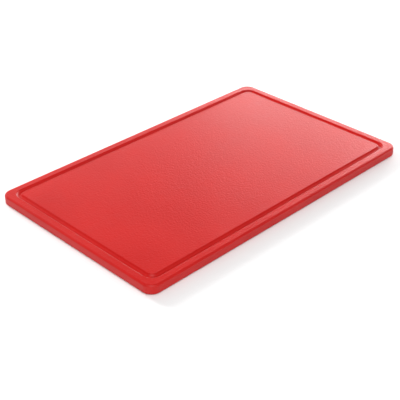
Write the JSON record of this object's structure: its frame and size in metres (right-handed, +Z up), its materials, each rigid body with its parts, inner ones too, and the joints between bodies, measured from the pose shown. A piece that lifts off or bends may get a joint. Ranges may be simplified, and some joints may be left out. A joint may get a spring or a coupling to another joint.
{
  "type": "cutting board",
  "caption": "Rectangular one-piece plastic cutting board with rounded corners and a juice groove round its upper face, for preparing raw meat.",
  "frame": {"origin": "centre of the underside, on the surface that the board lies on", "axes": "+X along the length, +Y across the width, +Z up out of the grooved cutting face"},
  "size_m": [0.53, 0.325, 0.015],
  "materials": {
    "red_polyethylene": "satin red high-density polyethylene, fine stipple on the faces, smooth machined edges and groove"
  },
  "bodies": {
    "root": {"board": "red_polyethylene"}
  },
  "joints": []
}
